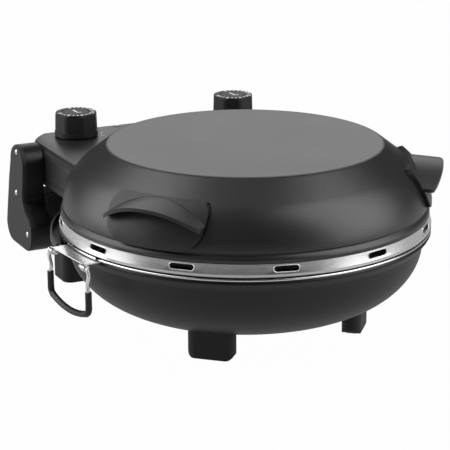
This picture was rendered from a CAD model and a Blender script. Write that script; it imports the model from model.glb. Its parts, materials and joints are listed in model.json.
"""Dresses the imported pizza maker: finishes for every solid, detailed pieces, light and camera."""

import json
import logging
import math
from dataclasses import dataclass
from enum import Enum
from typing import Callable, Iterable, Optional, Sequence, Union

import bmesh
import bpy
from mathutils import Matrix, Vector
from mathutils.bvhtree import BVHTree
from mathutils.geometry import box_fit_2d, convex_hull_2d


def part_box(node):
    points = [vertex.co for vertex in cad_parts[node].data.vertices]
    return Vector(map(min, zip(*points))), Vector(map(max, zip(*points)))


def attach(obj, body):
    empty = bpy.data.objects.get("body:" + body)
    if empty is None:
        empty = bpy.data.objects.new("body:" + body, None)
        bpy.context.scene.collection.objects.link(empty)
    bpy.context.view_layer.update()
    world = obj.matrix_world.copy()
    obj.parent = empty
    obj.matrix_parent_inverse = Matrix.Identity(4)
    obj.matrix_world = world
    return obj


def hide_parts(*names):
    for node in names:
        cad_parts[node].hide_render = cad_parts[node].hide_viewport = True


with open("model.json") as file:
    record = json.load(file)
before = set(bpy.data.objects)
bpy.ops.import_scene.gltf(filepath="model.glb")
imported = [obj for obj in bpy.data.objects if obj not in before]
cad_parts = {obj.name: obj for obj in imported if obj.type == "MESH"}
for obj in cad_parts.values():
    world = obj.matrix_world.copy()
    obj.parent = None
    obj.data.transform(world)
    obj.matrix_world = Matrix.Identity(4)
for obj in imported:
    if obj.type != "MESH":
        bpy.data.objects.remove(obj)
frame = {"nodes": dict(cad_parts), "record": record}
log = logging.getLogger("pizza_maker")
Number = Union[float, int]
Point = tuple[float, float, float]
Colour = tuple[float, float, float]
Shape = bmesh.types.BMesh
MM = 0.001


# ---- shader tools -----------------------------------------------------------


class Sock:
    """One output socket of a material's node tree, with arithmetic that adds Math nodes."""

    def __init__(self, paint: "Paint", socket: bpy.types.NodeSocket) -> None:
        """Keeps the socket and the material it belongs to.

        Args:
            paint: The material that is being built.
            socket: The output socket.
        """
        self.paint = paint
        self.socket = socket

    def _math(self, kind: str, *values: "Value") -> "Sock":
        """Adds one Math node.

        Args:
            kind: The Math node's operation.
            values: What its inputs take, in order.

        Returns:
            The node's result.
        """
        return self.paint.add("ShaderNodeMath", {"operation": kind}, dict(enumerate(values)))

    def __add__(self, other: "Value") -> "Sock":
        """Sum."""
        return self._math("ADD", self, other)

    def __radd__(self, other: Number) -> "Sock":
        """Sum with a number on the left."""
        return self._math("ADD", other, self)

    def __sub__(self, other: "Value") -> "Sock":
        """Difference."""
        return self._math("SUBTRACT", self, other)

    def __rsub__(self, other: Number) -> "Sock":
        """Difference with a number on the left."""
        return self._math("SUBTRACT", other, self)

    def __mul__(self, other: "Value") -> "Sock":
        """Product."""
        return self._math("MULTIPLY", self, other)

    def __rmul__(self, other: Number) -> "Sock":
        """Product with a number on the left."""
        return self._math("MULTIPLY", other, self)

    def most(self, other: "Value") -> "Sock":
        """The greater of the two."""
        return self._math("MAXIMUM", self, other)

    def turn(self, other: "Value") -> "Sock":
        """Angle of the point (other, self), in radians."""
        return self._math("ARCTAN2", self, other)

    def power(self, other: Number) -> "Sock":
        """This to the given power."""
        return self._math("POWER", self, other)

    def smooth(self, low: float, high: float) -> "Sock":
        """Soft step from 0 at low to 1 at high.

        Args:
            low: Where the step starts.
            high: Where it ends; it may lie below low.

        Returns:
            The step, from 0 to 1.
        """
        return self.paint.add(
            "ShaderNodeMapRange",
            {"interpolation_type": "SMOOTHSTEP"},
            {"Value": self, "From Min": low, "From Max": high},
        )


Value = Union[Sock, Number]


class Paint:
    """Builds one node material."""

    def __init__(self, name: str) -> None:
        """Starts an empty material.

        Args:
            name: The material's name.
        """
        self.material = bpy.data.materials.new(name)
        self.material.use_nodes = True
        self.tree = self.material.node_tree
        self.tree.nodes.clear()
        self.out = self.tree.nodes.new("ShaderNodeOutputMaterial")
        coords = self.tree.nodes.new("ShaderNodeTexCoord")
        self.place = Sock(self, coords.outputs["Object"])

    def add(
        self,
        kind: str,
        settings: Optional[dict] = None,
        inputs: Optional[dict] = None,
        output: Union[int, str] = 0,
    ) -> Sock:
        """Adds one node.

        Args:
            kind: The node's type.
            settings: Attributes that are set first.
            inputs: Values or sockets by input name or number.
            output: Which output to return.

        Returns:
            The chosen output.
        """
        node = self.tree.nodes.new(kind)
        for key, value in (settings or {}).items():
            setattr(node, key, value)
        for key, value in (inputs or {}).items():
            if isinstance(value, Sock):
                self.tree.links.new(value.socket, node.inputs[key])
            elif isinstance(value, tuple) and len(value) == 3 and node.inputs[key].type == "RGBA":
                node.inputs[key].default_value = (*value, 1.0)
            else:
                node.inputs[key].default_value = value
        return Sock(self, node.outputs[output])

    def axes(self) -> tuple[Sock, Sock, Sock]:
        """Splits the object coordinates.

        Returns:
            X, Y and Z.
        """
        node = self.tree.nodes.new("ShaderNodeSeparateXYZ")
        self.tree.links.new(self.place.socket, node.inputs[0])
        return tuple(Sock(self, node.outputs[i]) for i in range(3))

    def vector(self, x: Value, y: Value, z: Value) -> Sock:
        """Joins three values into a vector."""
        return self.add("ShaderNodeCombineXYZ", None, {0: x, 1: y, 2: z})

    def noise(
        self, scale: float, detail: float = 3.0, rough: float = 0.55, at: Optional[Sock] = None) -> Sock:
        """Adds a noise field.

        Args:
            scale: Features in one metre, or in one unit of the given vector.
            detail: Octaves.
            rough: How strong the small octaves are.
            at: Where it is read; the object coordinates where left out.

        Returns:
            The field, from 0 to 1.
        """
        return self.add(
            "ShaderNodeTexNoise",
            None,
            {"Vector": at or self.place, "Scale": scale, "Detail": detail, "Roughness": rough},
            "Fac",
        )

    def mix(self, share: Value, low: object, high: object) -> Sock:
        """Mixes two colours.

        Args:
            share: How much of high there is.
            low: A colour or a colour socket.
            high: A colour or a colour socket.

        Returns:
            The mixed colour.
        """
        return self.add("ShaderNodeMix", {"data_type": "RGBA"}, {0: share, 6: low, 7: high}, 2)

    def bump(self, height: Sock, depth: float) -> Sock:
        """Turns a height field into a normal.

        Args:
            height: The field.
            depth: How many metres one unit of it is.

        Returns:
            The normal.
        """
        return self.add(
            "ShaderNodeBump", None, {"Strength": 1.0, "Distance": depth, "Height": height}, "Normal")

    def surface(self, **sockets: object) -> bpy.types.Material:
        """Ends the material with a Principled shader.

        Args:
            sockets: Values or sockets by input name, with _ for a space.

        Returns:
            The material.
        """
        named = {key.replace("_", " "): value for key, value in sockets.items()}
        shader = self.add("ShaderNodeBsdfPrincipled", None, named, "BSDF")
        self.tree.links.new(shader.socket, self.out.inputs["Surface"])
        return self.material


def toned(colour: Colour, factor: float) -> Colour:
    """A colour made lighter or darker by a factor."""
    return tuple(min(1.0, c * factor) for c in colour)


# ---- finishes ---------------------------------------------------------------


@dataclass(frozen=True)
class SatinCoat:
    """Stoved satin coat on sheet or on a moulding, with a faint peel."""

    name: str
    colour: Colour
    roughness: float = 0.42
    peel: float = 0.00006
    spread: float = 0.10
    shine: float = 0.75

    def build(self) -> bpy.types.Material:
        """Makes the material.

        Returns:
            The material.
        """
        p = Paint(self.name)
        cloud = p.noise(9.0, 4.0)
        fine = p.noise(2600.0, 2.0)
        peel = p.noise(700.0, 2.0, 0.4)
        colour = p.mix(cloud, toned(self.colour, 1 - self.spread), toned(self.colour, 1 + self.spread))
        return p.surface(
            Base_Color=colour,
            Roughness=self.roughness + (cloud - 0.5) * 0.10 + (fine - 0.5) * 0.06,
            Normal=p.bump(peel + fine * 0.35, self.peel),
            Specular_IOR_Level=self.shine,
        )


@dataclass(frozen=True)
class MouldedPlastic:
    """Heat-proof moulded plastic with a fine spark-eroded texture."""

    name: str
    colour: Colour
    roughness: float = 0.5
    depth: float = 0.00008

    def build(self) -> bpy.types.Material:
        """Makes the material.

        Returns:
            The material.
        """
        p = Paint(self.name)
        cloud = p.noise(14.0, 3.0)
        grain = p.noise(1500.0, 3.0, 0.6)
        spots = p.add("ShaderNodeTexVoronoi", None, {"Vector": p.place, "Scale": 1100.0}, "Distance")
        colour = p.mix(grain, toned(self.colour, 0.8), toned(self.colour, 1.25))
        return p.surface(
            Base_Color=p.mix(cloud * 0.35, colour, toned(self.colour, 1.35)),
            Roughness=self.roughness + (cloud - 0.5) * 0.08 + (grain - 0.5) * 0.12,
            Normal=p.bump(grain + spots * 0.6, self.depth),
            Specular_IOR_Level=0.4,
        )


@dataclass(frozen=True)
class RingBrushed:
    """Stainless steel brushed round a vertical axis."""

    name: str
    colour: Colour
    centre_y: float
    roughness: float = 0.26

    def build(self) -> bpy.types.Material:
        """Makes the material.

        Returns:
            The material.
        """
        p = Paint(self.name)
        x, y, z = p.axes()
        back = y - self.centre_y
        turn = back.turn(x)
        radius = (x * x + back * back).power(0.5)
        lines = p.noise(1.0, 3.0, 0.7, p.vector(turn * 6.0, radius * 5200.0, z * 5200.0))
        broad = p.noise(1.0, 2.0, 0.5, p.vector(turn * 2.2, radius * 240.0, z * 240.0))
        colour = p.mix(lines, toned(self.colour, 0.86), toned(self.colour, 1.08))
        return p.surface(
            Base_Color=p.mix(broad * 0.4, colour, toned(self.colour, 0.9)),
            Metallic=1.0,
            Roughness=self.roughness + (lines - 0.5) * 0.16 + (broad - 0.5) * 0.08,
            Normal=p.bump(lines, 0.00004),
        )


@dataclass(frozen=True)
class Plated:
    """Bright plating or plain metal sheet, with faint scuffs."""

    name: str
    colour: Colour
    roughness: float = 0.14
    scuff: float = 0.10
    stretch: Point = (1.0, 1.0, 1.0)

    def build(self) -> bpy.types.Material:
        """Makes the material.

        Returns:
            The material.
        """
        p = Paint(self.name)
        x, y, z = p.axes()
        at = p.vector(x * self.stretch[0], y * self.stretch[1], z * self.stretch[2])
        scratches = p.noise(900.0, 4.0, 0.7, at)
        cloud = p.noise(24.0, 3.0)
        return p.surface(
            Base_Color=p.mix(cloud, toned(self.colour, 0.92), toned(self.colour, 1.05)),
            Metallic=1.0,
            Roughness=self.roughness + scratches * self.scuff + cloud * 0.04,
            Normal=p.bump(scratches, 0.00002),
        )


@dataclass(frozen=True)
class HeaterSheath:
    """Oxidised sheath of a heating tube, bluish and brown in patches."""

    name: str

    def build(self) -> bpy.types.Material:
        """Makes the material.

        Returns:
            The material.
        """
        p = Paint(self.name)
        patches = p.noise(30.0, 4.0, 0.6)
        fine = p.noise(800.0, 3.0)
        warm = p.mix(patches.smooth(0.35, 0.65), (0.16, 0.15, 0.16), (0.23, 0.19, 0.15))
        return p.surface(
            Base_Color=p.mix(fine * 0.5, warm, (0.10, 0.10, 0.11)),
            Metallic=0.85,
            Roughness=0.42 + fine * 0.2,
            Normal=p.bump(fine, 0.00004),
        )


@dataclass(frozen=True)
class Cordierite:
    """Baked ceramic stone: pale, matte, with pores and grains."""

    name: str

    def build(self) -> bpy.types.Material:
        """Makes the material.

        Returns:
            The material.
        """
        p = Paint(self.name)
        cloud = p.noise(18.0, 5.0, 0.6)
        grains = p.noise(1300.0, 3.0, 0.7)
        pores = p.add("ShaderNodeTexVoronoi", None, {"Vector": p.place, "Scale": 420.0}, "Distance")
        pit = 1.0 - pores.smooth(0.0, 0.22)
        base = p.mix(cloud, (0.60, 0.50, 0.37), (0.74, 0.65, 0.52))
        speckled = p.mix(grains.smooth(0.55, 0.75) * 0.5, base, (0.86, 0.80, 0.70))
        return p.surface(
            Base_Color=p.mix(pit * 0.55, speckled, (0.36, 0.28, 0.20)),
            Roughness=0.86 + grains * 0.1,
            Normal=p.bump(grains * 0.5 - pit * 0.8, 0.0003),
        )


@dataclass(frozen=True)
class SoftRubber:
    """Matte rubber or silicone, slightly dusty."""

    name: str
    colour: Colour
    roughness: float = 0.62

    def build(self) -> bpy.types.Material:
        """Makes the material.

        Returns:
            The material.
        """
        p = Paint(self.name)
        dust = p.noise(60.0, 4.0, 0.6)
        grain = p.noise(1900.0, 2.0)
        return p.surface(
            Base_Color=p.mix(dust * 0.6, self.colour, toned(self.colour, 1.8)),
            Roughness=self.roughness + dust * 0.12,
            Normal=p.bump(grain, 0.00005),
        )


@dataclass(frozen=True)
class TintedLens:
    """Dark red see-through moulding over the indicator lamp."""

    name: str

    def build(self) -> bpy.types.Material:
        """Makes the material.

        Returns:
            The material.
        """
        p = Paint(self.name)
        swirl = p.noise(500.0, 2.0)
        return p.surface(
            Base_Color=p.mix(swirl, (0.006, 0.002, 0.002), (0.010, 0.003, 0.003)),
            Roughness=0.12 + swirl * 0.06,
            Normal=p.bump(swirl, 0.00002),
            Coat_Weight=0.4,
        )


# ---- the frame and its sides --------------------------------------------------


CENTRE_Y = -0.0325
AXIS = Vector((0.0, CENTRE_Y, 0.0))
BODY_OF = {node: body for body, nodes in frame["record"]["behaviour"]["bodies"].items() for node in nodes}


class Side(Enum):
    """The left and the right of the object, seen from the front."""

    LEFT = -1
    RIGHT = 1

    @property
    def word(self) -> str:
        """The side's name in nodes and bodies."""
        return self.name.lower()


# ---- shaping tools ------------------------------------------------------------


def linked(name: str, data: bpy.types.ID) -> bpy.types.Object:
    """Makes an object of the scene.

    Args:
        name: Its name.
        data: Its mesh, curve, lamp or camera.

    Returns:
        The object.
    """
    made = bpy.data.objects.new(name, data)
    bpy.context.collection.objects.link(made)
    return made


def heading(turn: float, rise: float) -> Vector:
    """The direction turned from the front and raised by these degrees."""
    turn, rise = math.radians(turn), math.radians(rise)
    return Vector((math.sin(turn) * math.cos(rise), -math.cos(turn) * math.cos(rise), math.sin(rise)))


def mean(points: Sequence[Vector]) -> Vector:
    """The middle of some points."""
    return sum(points, Vector()) / len(points)


def ways_at(place: Vector) -> tuple[Vector, Vector]:
    """The level directions out from the chamber's axis and round it, at a place."""
    away = Vector((place.x, place.y - CENTRE_Y, 0.0)).normalized()
    return away, Vector((-away.y, away.x, 0.0))


def copy_of(node: str, merged: bool = True) -> Shape:
    """Copies a solid's mesh.

    Args:
        node: The solid.
        merged: Whether the loose corners of its triangles are joined.

    Returns:
        The copy.
    """
    shape = bmesh.new()
    shape.from_mesh(frame["nodes"][node].data)
    if merged:
        bmesh.ops.remove_doubles(shape, verts=shape.verts, dist=0.002 * MM)
    return shape


def skin_of(node: str) -> BVHTree:
    """Makes a solid's faces ready for looking up places on them.

    Args:
        node: The solid.

    Returns:
        The faces.
    """
    shape = copy_of(node, merged=False)
    skin = BVHTree.FromBMesh(shape)
    shape.free()
    return skin


def placed(shape: Shape, place: Sequence[float] = (0.0, 0.0, 0.0), turn: float = 0.0) -> Shape:
    """Turns a shape about the upright axis and then moves it.

    Args:
        shape: The shape, changed in place.
        place: Where its origin goes.
        turn: The turn, in radians.

    Returns:
        The same shape.
    """
    bmesh.ops.rotate(shape, verts=shape.verts, matrix=Matrix.Rotation(turn, 3, "Z"))
    bmesh.ops.translate(shape, verts=shape.verts, vec=place)
    return shape


def score(shape: Shape, height: float) -> None:
    """Cuts a shape's faces along a level plane and keeps both halves."""
    bmesh.ops.bisect_plane(
        shape, geom=[*shape.verts, *shape.edges, *shape.faces], plane_co=(0, 0, height), plane_no=(0, 0, 1))


def sheet_of(columns: int, rows: int, place: Callable[[float, float], Vector]) -> Shape:
    """A grid laid out by a function of two numbers from 0 to 1.

    Args:
        columns: Steps along the first number.
        rows: Steps along the second.
        place: Gives the point.

    Returns:
        The shape.
    """
    shape = bmesh.new()
    bmesh.ops.create_grid(shape, x_segments=columns, y_segments=rows, size=1.0)
    for corner in shape.verts:
        corner.co = place((corner.co.x + 1) / 2, (corner.co.y + 1) / 2)
    return shape


def lathe(profile: Sequence[tuple[float, float]], steps: int) -> Shape:
    """Spins an outline round the upright axis.

    Args:
        profile: Radius and height of each point.
        steps: Segments round the axis.

    Returns:
        The shape.
    """
    shape = bmesh.new()
    points = [shape.verts.new((r, 0.0, z)) for r, z in profile]
    edges = [shape.edges.new(pair) for pair in zip(points, points[1:])]
    bmesh.ops.spin(
        shape, geom=points + edges, cent=(0, 0, 0), axis=(0, 0, 1), angle=2 * math.pi,
        steps=steps, use_merge=True)
    bmesh.ops.remove_doubles(shape, verts=shape.verts, dist=0.001 * MM)
    bmesh.ops.recalc_face_normals(shape, faces=shape.faces)
    return shape


def meshed(curve: bpy.types.ID) -> Shape:
    """Turns a curve or a line of text into a shape.

    Args:
        curve: The curve; it is removed here.

    Returns:
        The shape.
    """
    holder = linked("holder", curve)
    data = bpy.data.meshes.new_from_object(holder.evaluated_get(bpy.context.evaluated_depsgraph_get()))
    shape = bmesh.new()
    shape.from_mesh(data)
    bpy.data.objects.remove(holder)
    bpy.data.curves.remove(curve)
    bpy.data.meshes.remove(data)
    return shape


def tube(points: Sequence[Vector], radius: float, closed: bool = False, sides: int = 2) -> Shape:
    """A round bar along a path.

    Args:
        points: The path.
        radius: The bar's radius.
        closed: Whether the path is a ring.
        sides: Bevel resolution of the bar.

    Returns:
        The shape.
    """
    curve = bpy.data.curves.new("path", "CURVE")
    curve.dimensions = "3D"
    curve.bevel_depth = radius
    curve.bevel_resolution = sides
    curve.use_fill_caps = not closed
    spline = curve.splines.new("POLY")
    spline.points.add(len(points) - 1)
    for knot, point in zip(spline.points, points):
        knot.co = (*point, 1.0)
    spline.use_cyclic_u = closed
    return meshed(curve)


def joined(shapes: Iterable[Shape]) -> Shape:
    """Joins shapes into one.

    Args:
        shapes: The parts; they are freed here.

    Returns:
        The whole.
    """
    whole = bmesh.new()
    for shape in shapes:
        part = bpy.data.meshes.new("part")
        shape.to_mesh(part)
        shape.free()
        whole.from_mesh(part)
        bpy.data.meshes.remove(part)
    return whole


def bar(length: float, width: float, height: float) -> Shape:
    """A low printed bar with barely rounded edges, its middle at the origin.

    Args:
        length: Its size along X.
        width: Its size along Y.
        height: Its thickness.

    Returns:
        The shape.
    """
    shape = bmesh.new()
    bmesh.ops.create_cube(shape, size=1.0)
    bmesh.ops.scale(shape, vec=(length, width, height), verts=shape.verts)
    bmesh.ops.bevel(
        shape, geom=shape.edges[:], offset=0.01 * MM, affect="EDGES", segments=2, profile=0.5, material=-1)
    return shape


def figure(text: str, size: float, lift: float) -> Shape:
    """A plain figure in thin relief, its middle at the origin.

    Args:
        text: The figure.
        size: Its height, about.
        lift: How thick it is.

    Returns:
        The shape.
    """
    line = bpy.data.curves.new("figure", "FONT")
    line.body = text
    line.size = size
    line.extrude = lift / 2
    line.align_x = "CENTER"
    line.align_y = "CENTER"
    line.resolution_u = 3
    line.offset = size * 0.03
    return meshed(line)


# ---- which piece gets which finish --------------------------------------------


FINISHES = {
    "shell": SatinCoat("shell", (0.013, 0.013, 0.0133), 0.38),
    "bowl": SatinCoat("bowl", (0.015, 0.015, 0.0155), 0.42, shine=0.43),
    "black_plastic": MouldedPlastic("black_plastic", (0.010, 0.010, 0.0105)),
    "arm_plastic": MouldedPlastic("arm_plastic", (0.018, 0.018, 0.0185)),
    "white_plastic": MouldedPlastic("white_plastic", (0.70, 0.70, 0.68), 0.4),
    "band_steel": RingBrushed("band_steel", (0.68, 0.68, 0.68), CENTRE_Y, 0.29),
    "tray_steel": Plated("tray_steel", (0.78, 0.78, 0.79)),
    "rim_steel": Plated("rim_steel", (0.94, 0.94, 0.94), 0.40),
    "reflector": Plated("reflector", (0.68, 0.69, 0.70), 0.3, 0.16, (1.0, 1.0, 0.2)),
    "heater": HeaterSheath("heater"),
    "zinc": Plated("zinc", (0.62, 0.62, 0.63), 0.3, 0.15),
    "screw_steel": Plated("screw_steel", (0.75, 0.75, 0.76), 0.2),
    "bronze": Plated("bronze", (0.55, 0.40, 0.20), 0.3),
    "stone": Cordierite("stone"),
    "rubber": SoftRubber("rubber", (0.006, 0.006, 0.006), 0.34),
    "cable": SoftRubber("cable", (0.03, 0.03, 0.03), 0.5),
    "lens": TintedLens("lens"),
    "print": MouldedPlastic("print", (0.95, 0.95, 0.95), 0.5, 0.00001),
    "handle": MouldedPlastic("handle", (0.030, 0.030, 0.031), 0.40, 0.00005),
    "gloss": MouldedPlastic("gloss", (0.004, 0.004, 0.0042), 0.36, 0.00004),
    "seat": SoftRubber("seat", (0.002, 0.002, 0.002), 0.9),
}
FINISH_OF = {"handle_left": "handle", "handle_right": "handle", "arm_left": "gloss", "arm_right": "gloss"}


class Dresser:
    """Gives every solid of the frame, and every new piece, the finish of its slot."""

    def __init__(self) -> None:
        """Builds each finish once."""
        self.made = {slot: finish.build() for slot, finish in FINISHES.items()}
        self.slots = {part["node"]: part["material_slot"] for part in frame["record"]["subparts"]}

    def dress_solids(self) -> None:
        """Assigns the finishes to the frame's own solids."""
        for node, slot in self.slots.items():
            mesh = frame["nodes"][node].data
            mesh.materials.clear()
            mesh.materials.append(self.made[slot])

    def add(self, name: str, shape: Shape, body: str, slot: str, sharp: float = 40.0) -> bpy.types.Object:
        """Turns a finished shape into a piece that rides on a body.

        Args:
            name: The piece's name.
            shape: Its mesh in metres, in the frame; it is freed here.
            body: The body it rides on.
            slot: The name of its finish.
            sharp: Edges that turn by more than these degrees stay sharp.

        Returns:
            The piece.
        """
        data = bpy.data.meshes.new(name)
        shape.to_mesh(data)
        shape.free()
        data.shade_smooth()
        data.set_sharp_from_angle(angle=math.radians(sharp))
        data.materials.append(self.made[slot])
        piece = linked(name, data)
        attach(piece, body)
        log.info("%s: %d faces on %s", name, len(data.polygons), body)
        return piece


# ---- softened mouldings -------------------------------------------------------


@dataclass(frozen=True)
class Softened:
    """A solid of the frame as it leaves the mould: its own faces, joined, with rounded edges."""

    node: str
    round_mm: float = 0.0
    steps: int = 2
    edge_turn: float = 28.0
    flat_turn: float = 0.4

    def shape(self) -> Shape:
        """Copies the solid's mesh, with its corners joined and its flat faces whole.

        Returns:
            The copy.
        """
        shape = copy_of(self.node)
        bmesh.ops.dissolve_limit(
            shape, angle_limit=math.radians(self.flat_turn), verts=shape.verts, edges=shape.edges)
        return shape

    def build(self, dresser: Dresser) -> None:
        """Makes the piece in place of its solid.

        Args:
            dresser: Gives the finish.
        """
        shape = self.shape()
        if self.round_mm > 0:
            limit = math.radians(self.edge_turn)
            edges = [e for e in shape.edges if len(e.link_faces) == 2 and e.calc_face_angle(0.0) > limit]
            bmesh.ops.bevel(
                shape, geom=edges, offset=self.round_mm * MM, offset_type="OFFSET", affect="EDGES",
                segments=self.steps, profile=0.5, material=-1, clamp_overlap=True)
        finish = FINISH_OF.get(self.node, dresser.slots[self.node])
        piece = dresser.add(self.node + "_moulding", shape, BODY_OF[self.node], finish)
        shade = piece.modifiers.new("flat_faces", "WEIGHTED_NORMAL")
        shade.keep_sharp = True
        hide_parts(self.node)


@dataclass(frozen=True)
class Foot(Softened):
    """A foot or leg whose upright corners are rounder than its solid's."""

    steps: int = 4
    corner: float = 10 * MM
    cuts: int = 9

    def shape(self) -> Shape:
        """Copies the solid and planes its four upright corners round.

        Returns:
            The copy.
        """
        shape = super().shape()
        turn = box_fit_2d([v.co.xy for v in shape.verts])
        placed(shape, turn=turn)
        low = [min(v.co[i] for v in shape.verts) for i in (0, 1)]
        high = [max(v.co[i] for v in shape.verts) for i in (0, 1)]
        centre = [(low[i] + high[i]) / 2 for i in (0, 1)]
        half = [(high[i] - low[i]) / 2 - self.corner for i in (0, 1)]
        for across in (-1, 1):
            for along in (-1, 1):
                pivot = Vector((centre[0] + half[0] * across, centre[1] + half[1] * along, 0.0))
                for cut in range(self.cuts):
                    angle = math.pi / 2 * (cut + 0.5) / self.cuts
                    way = Vector((math.cos(angle) * across, math.sin(angle) * along, 0.0))
                    self.plane(shape, pivot + way * self.corner, way)
        return placed(shape, turn=-turn)

    def plane(self, shape: Shape, place: Vector, way: Vector) -> None:
        """Cuts off what lies past a plane and closes the cut.

        Args:
            shape: The shape.
            place: A point of the plane.
            way: The direction in which everything goes.
        """
        bmesh.ops.bisect_plane(
            shape, geom=[*shape.verts, *shape.edges, *shape.faces], dist=0.0001 * MM,
            plane_co=place, plane_no=way, clear_outer=True)
        bmesh.ops.holes_fill(shape, edges=[e for e in shape.edges if e.is_boundary])


@dataclass(frozen=True)
class Groove:
    """A narrow groove round a turned shell, in millimetres.

    Lips and floors are heights from the top of the anchor's box.
    """

    lips: tuple[float, ...]
    floors: tuple[float, ...]
    depth: float


@dataclass(frozen=True)
class Grooved(Softened):
    """A turned shell whose outside also gets narrow grooves."""

    anchor: str = "steel_band"
    grooves: tuple[Groove, ...] = ()
    reach: float = 0.5 * MM
    near: float = 0.01 * MM
    tries: tuple[float, ...] = (0.0, 0.1, -0.1, 0.3, -0.3, 0.6)

    def radius(self, skin: BVHTree, z: float) -> float:
        """The shell's outer radius at a height, or just beside it where the ray slips through an edge.

        Args:
            skin: The shell's faces.
            z: The height.

        Returns:
            The radius.
        """
        hits = (skin.ray_cast(Vector((0.02, -1.0, z + k * MM)), Vector((0, 1, 0)))[0] for k in self.tries)
        face = next(hit for hit in hits if hit is not None)
        return math.hypot(face.x, face.y - CENTRE_Y)

    def shape(self) -> Shape:
        """Copies the solid's mesh and presses the grooves into its outer skin.

        Returns:
            The copy.
        """
        shape = super().shape()
        skin = BVHTree.FromBMesh(shape)
        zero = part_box(self.anchor)[1].z
        for groove in self.grooves:
            for height in groove.lips + groove.floors:
                score(shape, zero + height * MM)
            for height in groove.floors:
                z = zero + height * MM
                radius = self.radius(skin, z)
                for corner in shape.verts:
                    flat = Vector((corner.co.x, corner.co.y - CENTRE_Y, 0.0))
                    if abs(corner.co.z - z) < self.near and abs(flat.length - radius) < self.reach:
                        corner.co -= flat.normalized() * groove.depth * MM
        return shape


@dataclass(frozen=True)
class Handle(Softened):
    """A handle on the dome: its foot drawn in, so that a gap shows round it, and the grip's ends slimmed."""

    round_mm: float = 0.9
    steps: int = 3
    gap: float = 2.2 * MM
    contact: float = 0.25 * MM
    grip_out: float = 16.5 * MM
    slim: float = 1.6
    seat: float = 0.8 * MM
    knot: float = 0.8 * MM

    def shape(self) -> Shape:
        """Copies the solid's mesh, draws in what touches the lid and slims the grip's ends.

        Returns:
            The copy.
        """
        shape = super().shape()
        foot = self.foot(shape)
        middle = mean([v.co for v in foot])
        for corner in foot:
            way = middle - corner.co
            if way.length > 4 * self.gap:
                corner.co += way.normalized() * self.gap
        away, along = ways_at(middle)
        end = max((v.co - AXIS).dot(away) for v in shape.verts) - self.grip_out
        grip = [v for v in shape.verts if (v.co - AXIS).dot(away) > end]
        half = max(abs((v.co - AXIS).dot(along)) for v in grip)
        for corner in grip:
            share = min(0.995, abs((corner.co - AXIS).dot(along)) / half)
            keep = (1 - share ** self.slim) ** (1 / self.slim) / math.sqrt(1 - share ** 2)
            corner.co -= away * ((corner.co - AXIS).dot(away) - end) * (1 - keep)
        return shape

    def foot(self, shape: Shape) -> list[bmesh.types.BMVert]:
        """The handle's corners that touch the lid."""
        skin = skin_of("lid_shell")
        return [v for v in shape.verts if skin.find_nearest(v.co)[3] < self.contact]

    def seam(self) -> Shape:
        """The dark line round the foot, laid on the lid.

        Returns:
            The shape.
        """
        solid = super().shape()
        touching = [v.co.copy() for v in self.foot(solid)]
        solid.free()
        away, along = ways_at(mean(touching))
        flat = [Vector(((c - AXIS).dot(along), c.z)) for c in touching]
        skin = skin_of("lid_shell")
        path = []
        for i in convex_hull_2d(flat):
            start = AXIS + along * flat[i].x + away * 0.5
            start.z = flat[i].y
            face = skin.ray_cast(start, -away)[0]
            if face is not None and (not path or (face - path[-1]).length > self.knot):
                path.append(face)
        return tube(path, self.seat, closed=True)

    def build(self, dresser: Dresser) -> None:
        """Makes the dark line of the gap and then the handle.

        Args:
            dresser: Gives the finishes.
        """
        dresser.add(self.node + "_gap", self.seam(), BODY_OF[self.node], "seat", 60.0)
        super().build(dresser)


SOFTENED = (
    Grooved("lid_shell", grooves=(
        Groove((7.2, 9.0), (8.1,), 1.5),
        Groove((0.75,), (0.0, 0.7), 1.2))),
    Grooved("base_bowl", anchor="base_bowl", grooves=(Groove((-2.6,), (0.0, -2.4), 2.2),)),
    Softened("steel_band"),
    Softened("stone_tray"),
    Softened("pizza_stone", 1.2, 3),
    Foot("front_foot_left", 3.0),
    Foot("front_foot_right", 3.0),
    Foot("rear_leg_left", 2.0),
    Foot("rear_leg_right", 2.0),
    Softened("rear_tower", 0.5),
    Softened("tower_cover", 0.5),
    Softened("arm_left", 0.7),
    Softened("arm_right", 0.7),
    Softened("arm_cover_left", 1.3, 3),
    Softened("arm_cover_right", 1.3, 3),
    Softened("arm_screws", 0.25),
    Handle("handle_left"),
    Handle("handle_right"),
    Softened("housing_cover", 0.4),
    Softened("cord_gland", 0.4),
    Softened("upper_reflector"),
    Softened("base_pan"),
    Softened("upper_element"),
    Softened("lower_element"),
    Softened("bail_sleeve_left", 0.5),
    Softened("bail_sleeve_right", 0.5),
    Softened("indicator_lens", 0.3),
)


# ---- pieces shaped here -------------------------------------------------------


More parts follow.
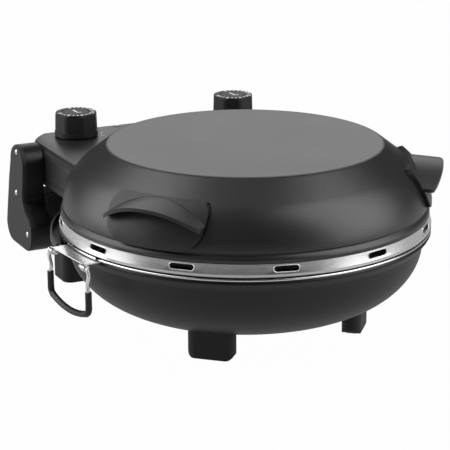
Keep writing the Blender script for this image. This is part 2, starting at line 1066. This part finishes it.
@dataclass
class Knob:
    """A thermostat knob: skirt, shadow gap, grip flats, raised disc and printed scale."""

    side: Side
    flats: int = 8
    first_flat: float = -117.0
    flat_share: float = 0.952
    skirt: float = 5.6 * MM
    disc_share: float = 0.62
    groove: float = 1.2 * MM
    highest: int = 6
    off_turn: float = 90.0
    sweep: float = 270.0
    wider: float = 1.0 * MM
    taper: float = 0.8 * MM
    ink: float = 0.1 * MM
    figure_size: float = 7.0 * MM
    tick_shares: tuple[float, ...] = (0.35, 0.65)
    tick_size: tuple[float, float] = (3.4 * MM, 1.3 * MM)
    pointer: tuple[tuple[float, ...], ...] = ((1.9, 14.5, 0.0, 1.3), (4.5, 1.9, 2.2, -5.0))

    def __post_init__(self) -> None:
        """Reads the knob's place and size from its solid."""
        self.node = "knob_" + self.side.word
        low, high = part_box(self.node)
        self.centre = Vector(((low.x + high.x) / 2, (low.y + high.y) / 2, low.z))
        self.base_r = (high.x - low.x) / 2 + self.wider
        self.height = high.z - low.z
        self.top_r = self.base_r - self.taper

    def profile(self, low: float, rim: float) -> list[tuple[float, float]]:
        """The cap's outline.

        Args:
            low: Radius where the grip starts, above the skirt.
            rim: Height where the grip ends.

        Returns:
            Radius and height of each point, from the axis at the foot to the axis on top.
        """
        h, base, top, disc = self.height, self.base_r, self.top_r, self.top_r * self.disc_share
        foot = [
            (0.0, 0.0), (base - 1.6 * MM, 0.0), (base - 1.6 * MM, 0.8 * MM), (base - 0.4 * MM, 0.9 * MM)]
        grip = [(base, 1.3 * MM), (low, self.skirt), (low, self.skirt + 0.3 * MM), (top, rim)]
        edge = [(top - 0.3 * MM, h - 1.1 * MM), (top - 0.9 * MM, h - 0.4 * MM), (top - 1.8 * MM, h)]
        sunk = [
            (disc + self.groove, h), (disc + self.groove * 0.8, h - 0.8 * MM),
            (disc + self.groove * 0.2, h - 0.8 * MM), (disc, h), (0.0, h)]
        return foot + grip + edge + sunk

    def cap(self) -> Shape:
        """The knob's body, with its flats.

        Returns:
            The shape.
        """
        low, rim = self.base_r - 0.2 * MM, self.height - 2.2 * MM
        shape = lathe(self.profile(low, rim), 120)
        for i in range(self.flats):
            turn = math.radians(self.first_flat + 360 / self.flats * i)
            way = Vector((math.cos(turn), math.sin(turn), 0.0))
            for corner in shape.verts:
                share = (corner.co.z - self.skirt) / (rim - self.skirt)
                over = corner.co.dot(way) - (low + (self.top_r - low) * share) * self.flat_share
                if over > 0 and share > 0.01:
                    corner.co -= way * over
        return placed(shape, self.centre)

    def scale(self) -> Shape:
        """The printed figures, ticks and pointer on the knob's top.

        Returns:
            The shape.
        """
        marks = []
        ring = (self.top_r * (self.disc_share + 1)) / 2
        step = math.radians(self.sweep / self.highest)
        for value in range(self.highest + 1):
            turn = math.radians(self.off_turn) - step * value
            mark = figure(str(value), self.figure_size, self.ink)
            marks.append(placed(mark, (math.cos(turn) * ring, math.sin(turn) * ring, 0), turn - math.pi / 2))
            for share in self.tick_shares if value < self.highest else ():
                at = turn - step * share
                tick = bar(*self.tick_size, self.ink)
                marks.append(placed(tick, (math.cos(at) * ring, math.sin(at) * ring, 0), at))
        for length, width, x, y in self.pointer:
            marks.append(placed(bar(length * MM, width * MM, self.ink), (x * MM, y * MM, 0)))
        return placed(joined(marks), self.centre + Vector((0, 0, self.height)))

    def build(self, dresser: Dresser) -> None:
        """Makes the knob and its scale.

        Args:
            dresser: Gives the finishes.
        """
        cap = dresser.add(self.node + "_cap", self.cap(), self.node, "black_plastic", 9.0)
        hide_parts(self.node)
        dresser.add(self.node + "_scale", self.scale(), self.node, "print", 30.0)


@dataclass(frozen=True)
class Bail:
    """A tray bail bent from wire: its legs weave a little between the hooks and the sleeve."""

    side: Side
    weave: float = 1.7 * MM
    rings: int = 14
    hooks: float = 3.2 * MM
    above_sleeve: float = 0.5 * MM

    def build(self, dresser: Dresser) -> None:
        """Makes the bail in place of its solid.

        Args:
            dresser: Gives the finish.
        """
        node = "tray_bail_" + self.side.word
        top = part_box(node)[1].z - self.hooks
        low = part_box("bail_sleeve_" + self.side.word)[1].z + self.above_sleeve
        shape = copy_of(node)
        for i in range(self.rings + 1):
            score(shape, low + (top - low) * i / self.rings)
        middle = mean([v.co for v in shape.verts])
        along = ways_at(middle)[1]
        for corner in shape.verts:
            share = (top - corner.co.z) / (top - low)
            if 0 < share < 1:
                outer = math.copysign(1.0, (corner.co - middle).dot(along))
                corner.co += along * (outer * self.weave * math.sin(2 * math.pi * share))
        bail = dresser.add(node + "_wire", shape, BODY_OF[node], "rim_steel", 50.0)
        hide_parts(node)


@dataclass(frozen=True)
class TabEdge:
    """The bright folded edge between the hooks of a tray tab."""

    side: Side
    half: float = 28.5 * MM
    hook: float = 2.9 * MM
    wire: float = 0.45 * MM
    sunk: float = 0.3 * MM
    steps: int = 8

    def build(self, dresser: Dresser) -> None:
        """Makes the edge.

        Args:
            dresser: Gives the finish.
        """
        bail = frame["nodes"]["tray_bail_" + self.side.word].data.vertices
        away, along = ways_at(mean([v.co for v in bail]))
        tray = [v.co - AXIS for v in frame["nodes"]["stone_tray"].data.vertices]
        reach = max(c.dot(away) for c in tray) - self.hook
        top = max(c.z for c in tray if c.dot(away) > reach)
        middle = AXIS + away * reach + Vector((0, 0, top - self.sunk))
        path = [middle + along * (self.half * k / self.steps) for k in range(-self.steps, self.steps + 1)]
        dresser.add(
            "tab_edge_" + self.side.word, tube(path, self.wire), BODY_OF["stone_tray"], "rim_steel", 60.0)


@dataclass(frozen=True)
class ArmScrews:
    """Domed heads and dark seats of the screws in the arm covers."""

    seat: float = 4.9 * MM
    seat_lift: float = 0.16 * MM
    seat_sunk: float = 0.3 * MM
    seat_hole: float = 0.5
    dome: float = 1.3 * MM
    dome_grow: float = 1.05
    dome_sunk: float = 0.4 * MM
    steps: int = 8
    face: float = 0.3 * MM
    apart: float = 2.2

    def rims(self) -> list[list[Vector]]:
        """Reads the outer corners of the screws' own solids.

        Returns:
            The corners of each screw.
        """
        shape = copy_of("arm_screws")
        inner = max(abs(v.co.x) for v in shape.verts) - self.face
        near = self.apart * self.seat
        rims: list[list[Vector]] = []
        for corner in shape.verts:
            if abs(corner.co.x) > inner:
                rim = next((known for known in rims if (known[0] - corner.co).length < near), None)
                if rim is None:
                    rim = []
                    rims.append(rim)
                rim.append(corner.co.copy())
        shape.free()
        return rims

    def build(self, dresser: Dresser) -> None:
        """Makes the heads and the seats.

        Args:
            dresser: Gives the finishes.
        """
        heads, seats = [], []
        for rim in self.rims():
            low = Vector([min(c[k] for c in rim) for k in range(3)])
            high = Vector([max(c[k] for c in rim) for k in range(3)])
            middle, head_r = (low + high) / 2, (high.z - low.z) / 2
            turn = Matrix.Rotation(math.copysign(math.pi / 2, middle.x), 3, "Y")
            wide, hole = head_r * self.dome_grow, head_r * self.seat_hole
            bends = [math.pi / 2 * i / self.steps for i in range(self.steps + 1)]
            arc = [(wide * math.cos(bend), self.dome * math.sin(bend)) for bend in bends]
            cap = lathe([(wide, -self.dome_sunk), *arc], 32)
            edge = [(self.seat, self.seat_lift), (self.seat, -self.seat_sunk)]
            ring = lathe([(hole, 0.0), (hole, self.seat_lift), *edge], 40)
            for part, store in ((cap, heads), (ring, seats)):
                bmesh.ops.rotate(part, verts=part.verts, matrix=turn)
                store.append(placed(part, middle))
        dresser.add("arm_screw_heads", joined(heads), BODY_OF["arm_screws"], "screw_steel", 60.0)
        dresser.add("arm_screw_seats", joined(seats), BODY_OF["arm_screws"], "seat", 60.0)


@dataclass
class Dome:
    """Outside of the lid: heights and radii read from the solid, and the soft corners beside the housing."""

    corner_r: float = 55 * MM
    corner_least: float = 0.04
    fade: float = 24 * MM
    sunk: float = 0.15 * MM
    above_band: float = 0.6 * MM
    under_deck: float = 0.8 * MM
    wall_in: float = 6 * MM
    columns: int = 40
    rows: int = 16

    def __post_init__(self) -> None:
        """Reads the lid's skin and the housing's box."""
        self.skin = skin_of("lid_shell")
        self.deck_z = self.drop(0.0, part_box("knob_left")[0].y)
        self.wall_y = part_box("housing_cover")[0].y + self.wall_in

    def drop(self, x: float, y: float) -> float:
        """Height of the lid's top at a place."""
        return self.skin.ray_cast(Vector((x, y, 1.0)), Vector((0, 0, -1)))[0].z

    def side_at(self, y: float, z: float) -> float:
        """Distance of the lid's side from the middle plane."""
        return self.skin.ray_cast(Vector((1.0, y, z)), Vector((-1, 0, 0)))[0].x

    def corner(self, side: Side) -> Shape:
        """The soft hollow between the dome and the housing's side wall.

        Args:
            side: Which wall.

        Returns:
            The shape, sunk a little into both at its edges.
        """
        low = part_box("steel_band")[1].z + self.above_band
        top = self.deck_z - self.under_deck
        levels = {}

        def place(u: float, v: float) -> Vector:
            """One point of the hollow.

            Args:
                u: Share of its height.
                v: Share of its arc, from the housing to the dome.

            Returns:
                The point.
            """
            z = low + (top - low) * u
            if u not in levels:
                bend = math.sin(math.pi / 2 * min(1.0, (top - z) / self.fade))
                ball = self.corner_r * (self.corner_least + (1 - self.corner_least) * bend)
                levels[u] = (ball, self.side_at(CENTRE_Y, z), self.side_at(self.wall_y, z))
            ball, r, wall = levels[u]
            x = wall + ball
            y = math.sqrt((r + ball) ** 2 - x ** 2)
            start, end = math.pi, math.atan2(-y, -x) % (2 * math.pi)
            turn = start + (end - start) * v
            reach = ball + self.sunk * (1 - math.sin(math.pi * v))
            return AXIS + Vector((side.value * (x + reach * math.cos(turn)), y + reach * math.sin(turn), z))

        shape = sheet_of(self.columns, self.rows, place)
        bmesh.ops.recalc_face_normals(shape, faces=shape.faces)
        shape.faces.ensure_lookup_table()
        if shape.faces[len(shape.faces) // 2].normal.x * side.value < 0:
            bmesh.ops.reverse_faces(shape, faces=shape.faces)
        return shape

    def build(self, dresser: Dresser) -> None:
        """Makes the corners.

        Args:
            dresser: Gives the finish.
        """
        for side in Side:
            dresser.add("housing_corner_" + side.word, self.corner(side), "lid", "shell", 60.0)


@dataclass(frozen=True)
class BandRims:
    """Pressed rims round the slots of the steel band."""

    count: int = 12
    length: float = 24 * MM
    height: float = 5.6 * MM
    wire: float = 0.5 * MM
    share: float = 0.62
    steps: int = 44

    def build(self, dresser: Dresser) -> None:
        """Makes all the rims as one piece.

        Args:
            dresser: Gives the finish.
        """
        skin = skin_of("steel_band")
        low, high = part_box("steel_band")
        middle = low.z + (high.z - low.z) * self.share
        straight = (self.length - self.height) / 2
        bend = self.height / 2 + self.wire * 0.6
        rims = []
        for i in range(self.count):
            azimuth = 2 * math.pi * (i + 0.5) / self.count
            path = []
            for k in range(self.steps):
                turn = 2 * math.pi * (k + 0.5) / self.steps
                along = math.copysign(straight, math.cos(turn)) + bend * math.cos(turn)
                up = middle + bend * math.sin(turn)
                face = skin.ray_cast(Vector((0.0, -1.0, up)), Vector((0, 1, 0)))[0]
                out = CENTRE_Y - face.y
                angle = azimuth + along / out
                path.append(Vector((out * math.sin(angle), CENTRE_Y - out * math.cos(angle), up)))
            rims.append(tube(path, self.wire, closed=True, sides=1))
        dresser.add("band_slot_rims", joined(rims), "lid", "rim_steel", 60.0)


@dataclass(frozen=True)
class DeckPrint:
    """Printed arc and ticks on the deck round each knob."""

    dome: Dome
    ring: float = 27.5 * MM
    line: float = 0.35 * MM
    first: float = -25.0
    sweep: float = 120.0
    steps: int = 40
    ticks: int = 5
    tick_size: tuple[float, float, float] = (3.0 * MM, 0.9 * MM, 0.1 * MM)
    tick_out: float = 2.4 * MM
    level: float = 0.05 * MM
    sunk: float = 0.7

    def marks(self, middle: Vector) -> list[Shape]:
        """The print round one knob, where the deck is flat.

        Args:
            middle: The knob's middle.

        Returns:
            The ticks and the arc.
        """
        marks, arc = [], []
        for i in range(self.steps + 1):
            turn = math.radians(self.first + self.sweep * i / self.steps)
            x, y = middle.x + self.ring * math.cos(turn), middle.y + self.ring * math.sin(turn)
            z = self.dome.drop(x, y)
            if abs(z - self.dome.deck_z) < self.level:
                arc.append(Vector((x, y, z - self.sunk * self.line)))
                if i % (self.steps // self.ticks) == 0:
                    tick = placed(bar(*self.tick_size), (self.ring + self.tick_out, 0, z))
                    marks.append(placed(tick, (middle.x, middle.y, 0), turn))
        if len(arc) > 1:
            marks.append(tube(arc, self.line, sides=1))
        return marks

    def build(self, dresser: Dresser) -> None:
        """Makes the print of both knobs.

        Args:
            dresser: Gives the finish.
        """
        middles = [sum(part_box("knob_" + side.word), Vector()) / 2 for side in Side]
        shape = joined(mark for middle in middles for mark in self.marks(middle))
        dresser.add("deck_print", shape, "lid", "print", 30.0)


# ---- stage --------------------------------------------------------------------


@dataclass(frozen=True)
class Softbox:
    """A soft lamp, placed by its turn from the camera's side, its rise and its distance.

    The turn is positive to the camera's left. Angles are in degrees, lengths in metres, power in watts.
    """

    name: str
    turn: float
    rise: float
    distance: float
    width: float
    height: float
    power: float

    def build(self, target: Vector, azimuth: float) -> None:
        """Hangs the lamp and aims it.

        Args:
            target: What it shines on.
            azimuth: The camera's side, in degrees.
        """
        lamp = bpy.data.lights.new(self.name, "AREA")
        lamp.shape = "RECTANGLE"
        lamp.size = self.width
        lamp.size_y = self.height
        lamp.energy = self.power
        holder = linked(self.name, lamp)
        away = heading(azimuth - self.turn, self.rise)
        holder.location = target + away * self.distance
        holder.rotation_euler = (-away).to_track_quat("-Z", "Y").to_euler()


@dataclass(frozen=True)
class Studio:
    """Pale floor, soft lamps and the camera."""

    target: Point = (0.0, CENTRE_Y, 0.116)
    azimuth: float = -26.73
    elevation: float = 16.6
    distance: float = 1.75
    focal_px: float = 1715.0
    centre_px: tuple[float, float] = (245.2, 211.4)
    frame_px: float = 450.0
    sensor: float = 36.0
    lamps: tuple[Softbox, ...] = (
        Softbox("top", 90.0, 80.0, 1.9, 1.2, 1.2, 1.5),
        Softbox("left", 90.0, 32.0, 2.0, 1.8, 2.7, 41.0),
        Softbox("right", -76.0, 33.0, 2.0, 1.8, 2.7, 41.0),
        Softbox("rear", 180.0, 30.0, 2.4, 1.7, 1.6, 12.0),
        Softbox("front", 25.0, 24.0, 2.2, 0.9, 0.9, 0.5),
    )
    glossy_share: float = 0.4
    white_share: float = 0.985
    floor_size: float = 6.0
    floor_grey: float = 0.30
    sky: Colour = (0.9, 0.93, 1.0)
    sky_power: float = 0.05

    def place_camera(self) -> None:
        """Makes the camera and gives it to the scene."""
        lens = bpy.data.cameras.new("camera")
        lens.sensor_width = self.sensor
        lens.lens = self.sensor * self.focal_px / self.frame_px
        lens.shift_x = (self.frame_px / 2 - self.centre_px[0]) / self.frame_px
        lens.shift_y = (self.centre_px[1] - self.frame_px / 2) / self.frame_px
        lens.clip_start = 0.05
        camera = linked("camera", lens)
        camera.location = Vector(self.target) + heading(self.azimuth, self.elevation) * self.distance
        camera.rotation_euler = (
            math.pi / 2 - math.radians(self.elevation), 0.0, math.radians(self.azimuth))
        bpy.context.scene.camera = camera

    def floor_coat(self) -> bpy.types.Material:
        """White to the camera, and a dim grey that keeps shadows to everything else.

        Returns:
            The material.
        """
        p = Paint("floor")
        paths = p.tree.nodes.new("ShaderNodeLightPath")
        shiny = Sock(p, paths.outputs["Is Glossy Ray"]) * self.glossy_share
        seen = Sock(p, paths.outputs["Is Camera Ray"]).most(shiny).most(
            Sock(p, paths.outputs["Is Transmission Ray"]))
        matte = p.add("ShaderNodeBsdfDiffuse", None, {"Color": (self.floor_grey,) * 3})
        glow = p.add("ShaderNodeEmission", None, {"Color": (1.0, 1.0, 1.0), "Strength": 1.0})
        both = p.add("ShaderNodeMixShader", None, {0: seen * self.white_share, 1: matte, 2: glow})
        p.tree.links.new(both.socket, p.out.inputs["Surface"])
        return p.material

    def lay_floor(self) -> None:
        """Adds the floor."""
        grid = bmesh.new()
        bmesh.ops.create_grid(grid, x_segments=1, y_segments=1, size=self.floor_size)
        data = bpy.data.meshes.new("floor")
        grid.to_mesh(data)
        grid.free()
        floor = linked("floor", data)
        data.materials.append(self.floor_coat())

    def hang_sky(self) -> None:
        """Adds the world: white to the camera, faint and cool to everything else."""
        world = bpy.data.worlds.new("world")
        bpy.context.scene.world = world
        world.use_nodes = True
        nodes, links = world.node_tree.nodes, world.node_tree.links
        nodes.clear()
        path = nodes.new("ShaderNodeLightPath")
        faint = nodes.new("ShaderNodeBackground")
        faint.inputs[0].default_value = (*self.sky, 1.0)
        faint.inputs[1].default_value = self.sky_power
        bright = nodes.new("ShaderNodeBackground")
        bright.inputs[0].default_value = (1.0, 1.0, 1.0, 1.0)
        blend = nodes.new("ShaderNodeMixShader")
        out = nodes.new("ShaderNodeOutputWorld")
        links.new(path.outputs["Is Camera Ray"], blend.inputs[0])
        links.new(faint.outputs[0], blend.inputs[1])
        links.new(bright.outputs[0], blend.inputs[2])
        links.new(blend.outputs[0], out.inputs["Surface"])

    def build(self) -> None:
        """Sets the whole stage."""
        bpy.context.scene.view_settings.view_transform = "Standard"
        self.place_camera()
        for lamp in self.lamps:
            lamp.build(Vector(self.target), self.azimuth)
        self.lay_floor()
        self.hang_sky()


def main() -> None:
    """Builds the pieces in order."""
    logging.basicConfig(level=logging.INFO)
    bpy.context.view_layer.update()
    Studio().build()
    dresser = Dresser()
    dresser.dress_solids()
    for moulding in SOFTENED:
        moulding.build(dresser)
    for side in Side:
        Knob(side).build(dresser)
        Bail(side).build(dresser)
        TabEdge(side).build(dresser)
    ArmScrews().build(dresser)
    dome = Dome()
    dome.build(dresser)
    BandRims().build(dresser)
    DeckPrint(dome).build(dresser)
    log.info("solids dressed: %d", len(frame["nodes"]))


if __name__ == "__main__":
    main()
